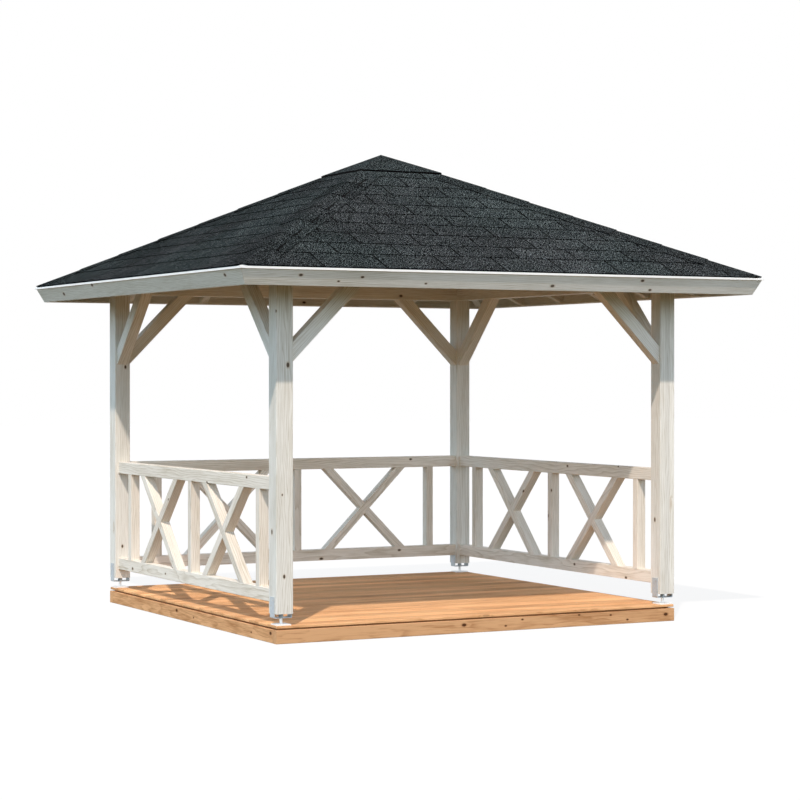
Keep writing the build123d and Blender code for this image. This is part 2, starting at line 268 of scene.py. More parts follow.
def wood(name, kind, grain, across, other, seed, fold=None, lamella=None):
    """A timber material.

    grain, across and other are unit directions. seed gives a whole number for each timber from
    the place, by (direction, pitch, offset) triples. fold mirrors the place first: "x", "y",
    "xy", or "roof", which takes each slope's own outward and sideways distances. lamella is
    (direction, edge, thickness, count) of glued layers. Its outstanding knots are in KNOTS.
    """
    made, t, shader = material(name)
    look = WOODS[kind]
    place = t.place()
    x, y, z = t.split(place)
    absolute = [t.math("ABSOLUTE", value) for value in (x, y)]
    folded = place
    if fold == "roof":
        folded = t.join(t.math("MAXIMUM", *absolute), t.math("MINIMUM", *absolute), z)
    elif fold:
        folded = t.join(absolute[0] if "x" in fold else x, absolute[1] if "y" in fold else y, z)
    along = t.join(*[t.vector("DOT_PRODUCT", folded, way) for way in (grain, across, other)])
    number = float(sum(ord(letter) for letter in name) % 37)
    for way, pitch, offset in seed:
        steps = t.math("FLOOR", t.math("MULTIPLY_ADD", t.vector("DOT_PRODUCT", place, way),
                                       1 / pitch, offset))
        number = t.math("MULTIPLY_ADD", steps, 3.7, number)
    if fold == "roof":
        number = t.math("ADD", number, t.times(t.math("GREATER_THAN", *absolute), 5.3))
    glue = None
    if lamella:
        number, glue = glued(t, place, number, *lamella)
    figure = t.node("ShaderNodeGroup", along, number, node_tree=FIGURE)
    rings, fibre, knot, halo, tone, blotch = figure.outputs
    if look["knots"] < 1.0:
        knot, halo = [t.times(value, look["knots"]) for value in (knot, halo)]
    if name in KNOTS:
        masks = placed_knots(t, place, grain, KNOTS[name])
        knot, halo = [t.math("MAXIMUM", *pair) for pair in zip((knot, halo), masks)]

    shade = t.math("ADD", t.times(rings, look["rings"]),
                   t.times(t.math("SUBTRACT", fibre, 0.5), look["fibre"] * 1.6))
    shade = t.math("ADD", shade,
                   t.times(t.math("SUBTRACT", blotch, 0.5), look["blotch"]))
    colour = t.mix(t.math("ADD", shade, 0.12, clamp=True), look["light"], look["dark"])
    if glue is not None:
        colour = t.mix(t.times(glue, 0.5), colour, look["dark"])
    difference = look["tone"]
    colour = t.tint(colour, t.mix(tone, grey(1 - difference), grey(1 + difference * 0.4)))
    colour = t.mix(t.times(halo, 0.5), colour, look["ring"])
    colour = t.mix(t.times(knot, 0.92), colour, look["knot"])
    height = t.math("ADD", t.times(fibre, 0.7), t.times(rings, -0.4))
    height = t.math("ADD", height, t.times(knot, -0.5))
    dress(t, shader, colour, t.span(fibre, 0.3, 0.7, *look["rough"]), look["gloss"], height, 0.45,
          0.0006)
    return made


MINERAL = (0.0149, 0.0167, 0.0175)
GRANULES = 330.0                # in a metre
BRIGHTEST = 11.0                # a granule's level at most
SPECKS = (0.955, 0.96, 1.0, 2.6)        # the rarest granules are this much brighter


def granule_material(name, dimmed):
    """Bitumen shingles with mineral granules. The mesh's tone tells pieces apart."""
    made, t, shader = material(name)
    place = t.place()
    grain = t.cells(place, GRANULES)
    fine, rare, _ = t.split(grain["Color"])
    clump = t.noise(place, 150.0, 1.0, 0.6)
    cloud = t.noise(place, 1.9, 3.0, 0.6)
    hue = t.noise(place, 1.1, 2.0, 0.5)
    tone = t.attribute("tone")
    # The front and back slopes have twice the coarse contrast of the left and right ones
    x, y, _ = t.split(place)
    frontal = t.math("GREATER_THAN", t.math("ABSOLUTE", y), t.math("ABSOLUTE", x))
    coarse = t.times(t.math("SUBTRACT", clump, 0.5), t.math("MULTIPLY_ADD", frontal, 8.5, 8.5))
    power = t.math("ADD", t.math("MULTIPLY_ADD", frontal, -0.40, coarse),
                   t.times(t.math("SUBTRACT", fine, 0.5),
                           t.math("MULTIPLY_ADD", frontal, 1.0, 2.8)))
    level = t.math("MINIMUM", t.math("EXPONENT", power), BRIGHTEST)
    level = t.times(level, t.span(rare, *SPECKS))
    colour = t.tint(MINERAL, t.join(level, level, level))
    colour = t.mix(t.span(hue, 0.42, 0.62, 0.0, 0.35), colour, t.tint(colour, (0.84, 1.10, 1.04)))
    colour = t.tint(colour, t.mix(tone, grey(0.72 * dimmed), grey(1.32 * dimmed)))
    colour = t.tint(colour, t.mix(t.span(cloud, 0.35, 0.65), grey(0.85), grey(1.12)))
    height = t.math("ADD", grain["Distance"], t.times(clump, 0.5))
    dress(t, shader, colour, t.span(fine, 0, 1, 0.80, 0.98), 0.0, height, 0.5, 0.0010)
    return made


def bitumen_and_shade_material():
    """The bare bitumen at a shingle's cut edges. Under its slits the same dark colour is painted
    shade.
    """
    made, t, shader = material("bitumen_and_shade")
    dust = t.noise(t.place(), 160.0, 3.0, 0.6)
    colour = t.mix(t.span(dust, 0.45, 0.75), (0.0014, 0.0015, 0.0017), (0.0050, 0.0054, 0.0060))
    dress(t, shader, colour, t.span(dust, 0.3, 0.7, 0.6, 0.85), 0.02, dust, 0.5, 0.001)
    return made


# Near-white: the edge strip's white lacquer, and the painted highlight on the shoes' base plates
WHITE_AND_HIGHLIGHT = (0.93, 0.93, 0.92)


def metal_material(name, pale, dull, rough, spangle, metallic=1.0, highlight_below=None):
    """Zinc or bare steel: soft crystals and brushing in colour and gloss.

    Below the height in its last argument it is near-white, a painted highlight of the sun on the
    shoes' base plates.
    """
    made, t, shader = material(name)
    place = t.place()
    flake = t.split(t.cells(place, spangle)["Color"])[0]
    stain = t.noise(place, 14.0, 3.0, 0.6)
    scratch = t.noise(t.vector("MULTIPLY", place, (900, 900, 60)), 1.0, 2.0, 0.6)
    amount = t.math("ADD", t.times(flake, 0.5), t.times(stain, 0.5))
    colour = t.mix(amount, dull, pale)
    if highlight_below is not None:
        # Painted highlight: near-white below that height
        painted_highlight = t.span(t.split(place)[2], highlight_below - 0.002, highlight_below, 1, 0)
        colour = t.mix(painted_highlight, colour, WHITE_AND_HIGHLIGHT)
    shader.inputs["Metallic"].default_value = metallic
    uneven = t.math("SUBTRACT", t.math("ADD", flake, scratch), 1.0)
    dress(t, shader, colour, t.math("MULTIPLY_ADD", uneven, 0.10, rough), None, scratch, 0.12,
          0.0003)
    return made


def lacquer_material(name, colour):
    """Smooth paint on sheet metal, with a faint ripple and dust."""
    made, t, shader = material(name)
    dust = t.noise(t.place(), 11.0, 3.0, 0.6)
    dusty = t.mix(t.span(dust, 0.35, 0.7), colour, tuple(value * 0.96 for value in colour))
    dress(t, shader, dusty, t.span(dust, 0.3, 0.7, 0.30, 0.42), 0.25, dust, 0.1, 0.001)
    return made


# Meshes ----------------------------------------------------------------------

def linked(name, data):
    made = bpy.data.objects.new(name, data)
    bpy.context.scene.collection.objects.link(made)
    return made


def finished(name, bm, materials, turn=None, replaces=(), smooth=0.0):
    """An object made from the bmesh, riding on the gazebo's one body."""
    bmesh.ops.recalc_face_normals(bm, faces=bm.faces)
    mesh = bpy.data.meshes.new(name)
    bm.to_mesh(mesh)
    bm.free()
    for item in materials:
        mesh.materials.append(item)
    if turn is not None:
        mesh.transform(turn)
    if smooth:
        mesh.shade_smooth()
        mesh.set_sharp_from_angle(angle=math.radians(smooth))
    made = linked(name, mesh)
    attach(made, "root")
    if replaces:
        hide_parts(*replaces)
    return made


def turned(side):
    return Matrix.Rotation(math.radians(SIDES[side]), 4, "Z")


def slope_matrix(side):
    """From (place along the eaves, distance down the slope, height square to it) to the frame."""
    slope = Matrix(((1, 0, 0, 0), (0, -COS, -SIN, 0), (0, -SIN, COS, PEAK), (0, 0, 0, 1)))
    return turned(side) @ slope


def clipped(points, along, across, limit):
    """The part of a flat outline where along * u + across * r is at most the limit."""
    kept = []
    for number, point in enumerate(points):
        before = points[number - 1]
        now = along * point[0] + across * point[1] - limit
        last = along * before[0] + across * before[1] - limit
        if (now <= 0) != (last <= 0):
            part = last / (last - now)
            kept.append((before[0] + (point[0] - before[0]) * part,
                         before[1] + (point[1] - before[1]) * part))
        if now <= 0:
            kept.append(point)
    return kept


def walls(bm, lower, upper):
    """Faces between two loops of as many points."""
    count = len(lower)
    return [bm.faces.new((lower[point], lower[(point + 1) % count], upper[(point + 1) % count],
                          upper[point])) for point in range(count)]


def mark(faces, layer, tone, number):
    """Gives faces their tone and the number of their material."""
    for face in faces:
        face[layer] = tone
        face.material_index = number


def slab(bm, points, bottom, top, tone, layer, split=None):
    """A closed sheet over an outline, with heights from functions of (u, r).

    Its edges across the slope get material 1. The top gets material 0 down from the line
    r = split. The rest of it, the underside and the edges down the slope get material 2.
    """
    lower = [bm.verts.new((u, r, bottom(u, r))) for u, r in points]
    upper = [bm.verts.new((u, r, top(u, r))) for u, r in points]
    faces = [bm.faces.new(upper), bm.faces.new(lower[::-1])] + walls(bm, lower, upper)
    mark(faces, layer, tone, 2)
    for number, face in enumerate(faces[2:]):
        (u, r), (next_u, next_r) = points[number], points[(number + 1) % len(points)]
        if abs(next_u - u) > abs(next_r - r):
            face.material_index = 1
    # Above the split the top is dark bitumen. Where it shows through the slits of the course above,
    # it is painted shade.
    if split is not None:
        faces[0].material_index = 0
        cut = bmesh.ops.bisect_plane(bm, geom=faces + list({e for f in faces for e in f.edges})
                                     + lower + upper, plane_co=(0, split, 0), plane_no=(0, 1, 0))
        for face in {f for e in cut["geom_cut"] if isinstance(e, bmesh.types.BMEdge)
                     for f in e.link_faces}:
            if face.material_index == 0 and face.calc_center_median().y < split:
                face.material_index = 2


# Deck boards and screws ------------------------------------------------------

deck_low, deck_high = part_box("deck_floor")
BOARDS = 21
BOARD_GAP = 0.005
BOARD_PITCH = (deck_high.y - deck_low.y + BOARD_GAP) / BOARDS
BOARD_ROUND = 0.003
BOARD_REACH = 0.006             # the boards' ends and the outer ones' edges run on this far
BOARD_CUP = 0.0006              # a board's middle is at most this much lower
BOARD_UNEVEN = 0.0015           # and its ends this much shorter
REBATE_DEPTH, REBATE_HEIGHT = 0.030, 0.010      # all round the boards' undersides


def deck_boards(look):
    rng = random.Random(5)
    bm = bmesh.new()
    layer = bm.faces.layers.float.new("tone")
    for number in range(BOARDS):
        near = deck_low.y + number * BOARD_PITCH - (BOARD_REACH if number == 0 else 0)
        far = deck_low.y + (number + 1) * BOARD_PITCH - BOARD_GAP \
            + (BOARD_REACH if number == BOARDS - 1 else 0)
        cup = rng.uniform(0.0, BOARD_CUP)
        left = deck_low.x - BOARD_REACH + rng.uniform(0.0, BOARD_UNEVEN)
        right = deck_high.x + BOARD_REACH - rng.uniform(0.0, BOARD_UNEVEN)
        step = deck_low.z + REBATE_HEIGHT

        def ring(inset, z):
            return [bm.verts.new((x, y, z)) for x, y in (
                (left + inset, near + inset), (right - inset, near + inset),
                (right - inset, far - inset), (left + inset, far - inset))]

        rings = [ring(REBATE_DEPTH, deck_low.z), ring(REBATE_DEPTH, step), ring(0.0, step),
                 ring(0.0, deck_high.z)]
        middles = [bm.verts.new((x, (near + far) / 2, deck_high.z - cup)) for x in (left, right)]
        faces = [bm.faces.new(rings[0][::-1])]
        for lower, upper in zip(rings[:2], rings[1:3]):
            faces += walls(bm, lower, upper)
        lower, upper = rings[2:]
        faces += [bm.faces.new((lower[0], lower[1], upper[1], upper[0])),
                  bm.faces.new((lower[2], lower[3], upper[3], upper[2])),
                  bm.faces.new((lower[1], lower[2], upper[2], middles[1], upper[1])),
                  bm.faces.new((lower[3], lower[0], upper[0], middles[0], upper[3])),
                  bm.faces.new((upper[0], upper[1], middles[1], middles[0])),
                  bm.faces.new((middles[0], middles[1], upper[2], upper[3]))]
        mark(faces, layer, rng.random(), 0)
    made = finished("deck_boards", bm, [look], replaces=("deck_floor",), smooth=35)
    bevel = made.modifiers.new("rounded edges", "BEVEL")
    bevel.width = BOARD_ROUND
    bevel.segments = 2
    bevel.limit_method = "ANGLE"
    bevel.angle_limit = math.radians(60)


HEAD_PROFILE = ((1.0, 0.0), (0.94, 0.45), (0.62, 0.95), (0.34, 1.0), (0.26, 0.55))
HEAD_SINK = 0.0002              # the heads' feet lie this far below the surface
SCREW_INSET = 0.03              # from a board's edges, and from the beams' inner faces
JOIST = 0.045
SHOE_CLEARANCE = 0.06           # no screws nearer to a post shoe's middle


def screw_heads(name, places, radius, height, look, sides):
    """Domed heads with a small recess. Each place is (centre on the surface, outward normal)."""
    bm = bmesh.new()
    for centre, outward in places:
        turn = Vector((0, 0, 1)).rotation_difference(outward).to_matrix()
        loops = []
        for share, rise in HEAD_PROFILE:
            loops.append([bm.verts.new(centre + turn @ Vector((
                radius * share * math.cos(2 * math.pi * step / sides),
                radius * share * math.sin(2 * math.pi * step / sides),
                height * rise))) for step in range(sides)])
        for outer, inner in zip(loops, loops[1:]):
            walls(bm, outer, inner)
        bm.faces.new(loops[-1])
        bm.faces.new(loops[0][::-1])
    finished(name, bm, [look], smooth=50)


def deck_screws(look):
    """Two in each board over each joist and beside each side beam."""
    joist_low, joist_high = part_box("deck_joists")
    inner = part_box("deck_beams_sides")[0].x
    rng = random.Random(11)
    spacing = (joist_high.x - joist_low.x - JOIST) / 4
    lines = [inner + SCREW_INSET, -inner - SCREW_INSET] + [spacing * step for step in range(-2, 3)]
    shoes = [(low + high) / 2 for low, high in (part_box("post_shoe_" + corner)
                                                for corner in CORNERS)]
    places = []
    for number in range(BOARDS):
        near = deck_low.y + number * BOARD_PITCH
        for line in lines:
            for inset in (SCREW_INSET, BOARD_PITCH - BOARD_GAP - SCREW_INSET):
                x = line + rng.uniform(-0.003, 0.003)
                y = near + inset + rng.uniform(-0.002, 0.002)
                if min(max(abs(x - shoe.x), abs(y - shoe.y)) for shoe in shoes) < SHOE_CLEARANCE:
                    continue
                places.append((Vector((x, y, deck_high.z - HEAD_SINK)), Vector((0, 0, 1))))
    screw_heads("deck_screws", places, 0.0038, 0.0007, look, 8)


def shoe_screws(look):
    """Two pan heads on each upright plate of the post shoes."""
    places = []
    for corner in CORNERS:
        low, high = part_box("post_shoe_" + corner)
        middle = (low.y + high.y) / 2
        for x, hand in ((low.x, -1), (high.x, 1)):
            for aside, below in ((-0.014, 0.022), (0.014, 0.056)):
                places.append((Vector((x - hand * HEAD_SINK, middle + aside, high.z - below)),
                               Vector((hand, 0, 0))))
    screw_heads("shoe_screws", places, 0.0055, 0.0024, look, 12)


# Roof ------------------------------------------------------------------------

def mitred(bm, section):
    """A bar along the eaves, mitred at the hips. Its section is (down the slope, height)."""
    ends = [[bm.verts.new((hand * (run * COS + height * SIN), run, height))
             for run, height in section] for hand in (-1, 1)]
    bm.faces.new(ends[0])
    bm.faces.new(ends[1][::-1])
    for point in range(len(section)):
        follow = (point + 1) % len(section)
        bm.faces.new((ends[0][point], ends[1][point], ends[1][follow], ends[0][follow]))


ROOF_BOARD = 0.016
BOARD_COVER = 0.108
BOARD_JOINT = 0.0004
GROOVE = 0.0045
FIRST_BOARD = 0.02              # the top board stops this far below the peak


def roof_boards(side, look):
    """Tongue-and-groove boards with V-grooves below, mitred at the hips."""
    bm = bmesh.new()
    top, bottom = ROOF_BOARD - SKIN, -SKIN
    for number in range(math.ceil(FASCIA_RUN / BOARD_COVER)):
        high = max(number * BOARD_COVER + BOARD_JOINT / 2, FIRST_BOARD)
        low = min((number + 1) * BOARD_COVER - BOARD_JOINT / 2, FASCIA_RUN)
        mitred(bm, [(high, top), (low, top), (low, bottom + GROOVE), (low - GROOVE, bottom),
                    (high + GROOVE, bottom), (high, bottom + GROOVE)])
    finished("roof_boards_" + side, bm, [look], turn=slope_matrix(side),
             replaces=("roof_slope_" + side,))


STRIP_HEIGHT = 0.0125
STRIP_LIP = 0.0012              # half the thickness of its lower fold
STRIP_BACK = 0.002              # its back is this far in from the roof's edge


def edge_strip(side, look):
    """A folded white strip over the fascia. Its face hangs plumb, a little proud at the foot."""
    drop = STRIP_HEIGHT * SIN / COS
    inner, foot = EAVES_RUN - STRIP_BACK, EAVES_RUN + drop
    bm = bmesh.new()
    mitred(bm, [(FASCIA_RUN, 0.0), (EAVES_RUN - 0.0022, 0.0), (EAVES_RUN - 0.0006, -0.0005),
                (EAVES_RUN + 0.0004, -0.0018), (foot, -STRIP_HEIGHT),
                (foot - STRIP_LIP, -STRIP_HEIGHT - STRIP_LIP), (inner, -STRIP_HEIGHT - STRIP_LIP),
                (inner, -STRIP_HEIGHT + STRIP_LIP), (FASCIA_RUN, -STRIP_HEIGHT + STRIP_LIP)])
    return finished("edge_strip_" + side, bm, [look], turn=slope_matrix(side))


COURSE = 0.187                  # exposure of a shingle course
FIRST_COURSE = 0.243            # the lowest one shows more
COURSES = 10
COURSE_SHIFTS = {"front": 0.0, "right": 0.11, "back": -0.06, "left": 0.17}
TAB = 0.45
SLIT = 0.012
SLIT_PLACE = -0.078             # of one slit in the lowest course, from the slope's middle
SHEET = 0.004
FELT = 0.0015
STEP = 0.0045                   # from one course's surface up to the next
EDGE_RISE = 0.009               # the lowest course lies on a starter strip
CURL = 0.05                     # a tab's lifting and waves begin this far from its lower edge
CORNER_CUT = 0.055              # the eaves' corners are cut back this far along each slope
HEAD_STOP = 0.05                # no sheet goes nearer to the peak
FELT_STOP = 0.026               # the felt stops this far from the roof's edge
HIDDEN_LAP = 0.008              # a tab goes this much further up than two courses
SLIT_SHIFT, SLIT_UNEVEN, BUTT_UNEVEN = 0.010, 0.001, 0.0025     # at most, either way
TAB_LIFT, TAB_WAVE = 0.0011, 0.0007
TAB_TONES = (0.20, 0.58)
FADED = 0.50                    # added where a slope is most faded
FADED_PLACE, FADED_REACH = 0.60, 0.90


def outline_on_slope(points):
    """The outline cut at the two hips and at the eaves' corners."""
    for hand in (-1, 1):
        points = clipped(points, hand, -COS, 0.0)
        if points:
            points = clipped(points, hand, COS, 2 * EAVES_RUN * COS - CORNER_CUT)
    return points


def shingles(side, looks):
    """Felt over the boards, a starter strip and the courses of tabs."""
    bm = bmesh.new()
    layer = bm.faces.layers.float.new("tone")
    rng = random.Random(71 + SIDES[side])
    butt = EAVES_RUN
    reach = EAVES_RUN * COS + TAB

    def sheet(outline, start, rise, fall, split, tone, lift):
        def top(u, r):
            near_butt = max(0.0, 1 - (start - r) / CURL)
            wave = noise.noise(Vector((u * 5 + SIDES[side], r * 5, 0))) * TAB_WAVE
            return rise - (start - r) * fall + near_butt * (lift + wave)

        slab(bm, outline, lambda u, r: top(u, r) - SHEET, top, tone, layer, split=split)

    def band(start, end):
        return outline_on_slope([(-reach, start), (reach, start), (reach, end), (-reach, end)])

    felt = ROOF_BOARD - SKIN
    slab(bm, band(HEAD_STOP, EAVES_RUN - FELT_STOP), lambda u, r: felt, lambda u, r: felt + FELT,
         0.5, layer)
    sheet(band(EAVES_RUN - FIRST_COURSE - 0.01, EAVES_RUN - 0.001), EAVES_RUN, EDGE_RISE - STEP,
          EDGE_RISE / FIRST_COURSE, None, 0.5, 0.0)
    for number in range(COURSES):
        shown, rise = (COURSE, STEP) if number else (FIRST_COURSE, EDGE_RISE)
        base = SLIT_PLACE + COURSE_SHIFTS[side] + (TAB / 2 if number % 2 else 0)
        first = math.floor((-reach - base) / TAB)
        last = math.ceil((reach - base) / TAB)
        slits = [base + TAB * step + rng.uniform(-SLIT_SHIFT, SLIT_SHIFT)
                 for step in range(first, last + 1)]
        head = butt - shown - 0.02
        if number:
            head = max(butt - shown - COURSE - HIDDEN_LAP, HEAD_STOP)
        for left, right in zip(slits, slits[1:]):
            foot = butt + (rng.uniform(-BUTT_UNEVEN, BUTT_UNEVEN) if number else 0.0)
            corners = [(slit + hand * SLIT / 2 + rng.uniform(-SLIT_UNEVEN, SLIT_UNEVEN), r)
                       for slit, hand, r in ((left, 1, head), (right, -1, head),
                                             (right, -1, foot), (left, 1, foot))]
            away = abs((left + right) / 2 - FADED_PLACE) / FADED_REACH
            tone = rng.uniform(*TAB_TONES) + FADED * max(0.0, 1.0 - away)
            lift = rng.uniform(0.0, TAB_LIFT)
            outline = outline_on_slope(corners)
            if len(outline) >= 3:
                sheet(outline, butt, rise, rise / shown, butt - shown - 0.002, tone, lift)
        butt -= shown
    finished("shingles_" + side, bm, looks, turn=slope_matrix(side))


HIP_PIECES = 8
HIP_EXPOSURE = 0.343
HIP_LAP, LOWEST_LAP = 0.03, 0.09        # how much further a cap reaches up under the next
HIP_FOOT, HIP_START = 0.020, 0.080      # from the eaves to the lowest cap, and the others' zero
HIP_SHORTEST = 0.05
HIP_HALF = 0.152                # width of a cap on each slope
HIP_TOP = 0.012                 # height of a cap's lower edge over the slope
HIP_SHEET = 0.0035
HIP_STEP, HIP_FLARE = 0.004, 0.003      # fall of a cap up to the next, and more at its long edges
HIP_ROUND = 0.020               # reach of the bend on each slope
HIP_SUNK = 0.0031               # the bend's middle is this far below the sharp edge
HIP_SLIT, HIP_SLIT_PLACE, HIP_SLIT_LENGTH = 0.013, 0.090, 0.165
HIP_TONES = (0.0, 0.45)
HIP_STRETCH = math.sqrt(1 + COS * COS)  # length of the hip for each run down the slope
HIP_DOWN = Vector((-COS, -COS, -SIN)) / HIP_STRETCH
# Of the front slope and of the left one: outward normal, and the way off the hip
HIP_NORMALS = (Vector((0, -SIN, COS)), Vector((-SIN, 0, COS)))
HIP_ASIDES = (HIP_NORMALS[0].cross(HIP_DOWN), HIP_DOWN.cross(HIP_NORMALS[1]))


def on_hip(distance, across, height):
    """A point by distance down the hip, signed distance across it and height."""
    hand = 0 if across >= 0 else 1
    reach = abs(across)
    normal = HIP_NORMALS[hand]
    point = Vector((0, 0, PEAK)) + HIP_DOWN * distance + HIP_ASIDES[hand] * reach
    if reach >= HIP_ROUND:
        return point + normal * height
    share = reach / HIP_ROUND
    blend = 0.5 + 0.5 * share
    bent = (normal * blend + HIP_NORMALS[1 - hand] * (1 - blend)).normalized()
    ridge = (HIP_NORMALS[0] + HIP_NORMALS[1]).normalized()
    return point + bent * height - ridge * (HIP_SUNK * (1 - share) ** 2)


def hip_limit(aside):
    """How far down the hip the roof's edge is, at this distance off it."""
    return (EAVES_RUN - 0.0005 - aside * COS / HIP_STRETCH) * HIP_STRETCH


def hip_cap(bm, layer, side, head, butt, rng):
    """One bent piece between two distances down the hip, with a slit on its right."""
    tone = rng.uniform(*HIP_TONES)
    rise = HIP_TOP + rng.uniform(-0.0008, 0.0008)
    left, right = [HIP_HALF + rng.uniform(-0.004, 0.004) for _ in range(2)]
    slit = HIP_SLIT_PLACE + rng.uniform(-0.004, 0.004)
    slit_head = max(butt - HIP_SLIT_LENGTH, head + 0.01)
    columns = [-left, -left * 0.66, -left * 0.33, -HIP_ROUND, -HIP_ROUND / 2, 0, HIP_ROUND / 2,
               HIP_ROUND, right * 0.40, slit - HIP_SLIT / 2, slit + HIP_SLIT / 2, right]
    rows = sorted({head, (head + butt) / 2, slit_head, butt - HIP_SLIT_LENGTH / 2, butt - 0.02,
                   butt})
    slit_row = rows.index(slit_head)

    def height(distance, across):
        flat = min(1.0, abs(across) / HIP_HALF) ** 2
        return rise - (butt - distance) / HIP_EXPOSURE * (HIP_STEP + HIP_FLARE * flat)

    grid = {}
    for row, distance in enumerate(rows):
        for column, across in enumerate(columns):
            # Near the eaves a piece is trimmed along the roof's edge
            far = min(distance, hip_limit(abs(across)))
            wave = noise.noise(Vector((far * 6, across * 9, SIDES[side]))) * 0.0006
            high = height(far, across) + wave
            grid[row, column] = [bm.verts.new(on_hip(far, across, level))
                                 for level in (high, high - HIP_SHEET)]
    cells = {(row, column) for row in range(len(rows) - 1) for column in range(len(columns) - 1)
             if row < slit_row or columns[column] <= HIP_ROUND
             or abs((columns[column] + columns[column + 1]) / 2 - slit) >= HIP_SLIT / 2}
    for row, column in cells:
        corners = [(row, column), (row, column + 1), (row + 1, column + 1), (row + 1, column)]
        upper, lower = zip(*[grid[corner] for corner in corners])
        mark([bm.faces.new(upper)], layer, tone, 0)
        mark([bm.faces.new(lower[::-1])], layer, tone, 2)
        beside = ((row - 1, column), (row, column + 1), (row + 1, column), (row, column - 1))
        for first, near in enumerate(beside):
            if near not in cells:
                second = (first + 1) % 4
                edge = bm.faces.new((upper[first], lower[first], lower[second], upper[second]))
                mark([edge], layer, tone, 2 if first in (1, 3) else 1)
    if butt > hip_limit(slit + HIP_SLIT):
        return
    # A dark bitumen strip closes the slit from below: painted shade seen through the slit
    near, far = slit - HIP_SLIT, slit + HIP_SLIT
    loops = [[bm.verts.new(on_hip(distance, across, height(distance, across) - HIP_SHEET * sunk))
              for across, sunk in ((near, 0.9), (far, 0.9), (far, 1.3), (near, 1.3))]
             for distance in rows[slit_row:]]
    faces = [bm.faces.new(loops[0]), bm.faces.new(loops[-1][::-1])]
    for before, after in zip(loops, loops[1:]):
        faces += walls(bm, before, after)
    mark(faces, layer, tone, 2)


def hip_caps(side, looks):
    """Bent pieces down the hip at the left end of a side, each lapping the one below."""
    bm = bmesh.new()
    layer = bm.faces.layers.float.new("tone")
    rng = random.Random(131 + SIDES[side])
    length = EAVES_RUN * HIP_STRETCH
    highest = (CAP_EDGE + 0.004) / COS * HIP_STRETCH        # under the peak's cover
    for number in range(HIP_PIECES):
        if number:
            butt = length - HIP_START - HIP_EXPOSURE * number + rng.uniform(-0.006, 0.006)
        else:
            butt = length - HIP_FOOT
        head = max(butt - HIP_EXPOSURE - (HIP_LAP if number else LOWEST_LAP), highest)
        if butt - head >= HIP_SHORTEST:
            hip_cap(bm, layer, side, head, butt, rng)
    bmesh.ops.remove_doubles(bm, verts=bm.verts, dist=0.00001)
    bmesh.ops.dissolve_degenerate(bm, edges=bm.edges, dist=0.00001)
    finished("hip_caps_" + side + "_left", bm, looks, turn=turned(side), smooth=30)


COVER_SHEET = 0.004
COVER_HEIGHT = 0.014            # of its edge over the slope
COVER_GAP = 0.0005              # under its turned-down edge
COVER_SPREAD = 0.001            # the edge's foot is this far out


def peak_cap(looks):
    """A four-sided cover over the peak, with its edges turned down on the shingles."""
    bm = bmesh.new()
    layer = bm.faces.layers.float.new("tone")
    slope = PEAK - CAP_EDGE * SIN / COS         # height of the slope under the cover's edge

    def ring(out, z):
        return [bm.verts.new((x * out, y * out, z))
                for x, y in ((-1, -1), (1, -1), (1, 1), (-1, 1))]

    outer_peak = bm.verts.new((0, 0, cap_high.z))
    inner_peak = bm.verts.new((0, 0, cap_high.z - COVER_SHEET / COS))
    # From the top's edge down to the foot, and up again inside
    rings = [ring(CAP_EDGE, slope + COVER_HEIGHT / COS),
             ring(CAP_EDGE + COVER_SPREAD, slope + COVER_GAP),
             ring(CAP_EDGE - COVER_SHEET, slope + COVER_GAP + 0.001),
             ring(CAP_EDGE - COVER_SHEET, slope + (COVER_HEIGHT - COVER_SHEET) / COS)]
    for number in range(4):
        follow = (number + 1) % 4
        faces = [bm.faces.new((outer_peak, rings[0][number], rings[0][follow]))]
        faces += [bm.faces.new((now[number], then[number], then[follow], now[follow]))
                  for now, then in zip(rings, rings[1:])]
        faces.append(bm.faces.new((inner_peak, rings[-1][follow], rings[-1][number])))
        # Only the tops get granules. The rest is dark bitumen: at the cut foot this is its own
        # colour, and on the turned-down face it is painted shade for the gap under it.
        mark(faces, layer, 0.35 + 0.12 * number, 2)
        faces[0].material_index = 0
    finished("peak_cap", bm, looks, replaces=("roof_cap",))


# Camera and light ------------------------------------------------------------

CAMERA_PLACE = (-7.6172, -14.9611, 1.7424)
CAMERA_TURN = (math.pi / 2 - 0.0107, 0, -0.4793)
LENS, SENSOR = 102.16, 36
SUN_WAY = (-0.375, -0.4986, 0.7815)         # towards the sun
SUN_COLOUR = (1.0, 0.878, 0.775)
SUN_STRENGTH, SUN_SIZE = 2.94, 1.2
# The light from the horizon up: height, colour to the east, and colour to the west
HORIZON = (0.32, 0.37, 0.17)
SKY = ((0.2, (1.60, 2.02, 2.27), (1.46, 1.93, 2.27)),
       (0.4, (1.30, 1.32, 1.60), (0.89, 1.19, 1.61)),
       (0.65, (0.28, 0.26, 0.25), (1.00, 1.32, 1.62)))
ZENITH = (0.07, 0.08, 0.08)
FLOOR_LIT = 0.92                # its diffuse share shows the shadow
FLOOR_SHADOW = 0.13             # and is this much of what the camera sees
FLOOR_GLOW = (0.095, 0.068, 0.030)          # its colour for the light that it sends up


def camera():
    data = bpy.data.cameras.new("camera")
    data.lens = LENS
    data.sensor_width = SENSOR
    data.clip_end = 200
    made = linked("camera", data)
    made.location = CAMERA_PLACE
    made.rotation_euler = CAMERA_TURN
    bpy.context.scene.camera = made


def seen(t):
    """1 for rays from the camera, and for those that gloss and glass send on."""
    rays = t.node("ShaderNodeLightPath").outputs
    return t.math("MAXIMUM", t.math("MAXIMUM", rays["Is Camera Ray"], rays["Is Glossy Ray"]),
                  rays["Is Transmission Ray"])


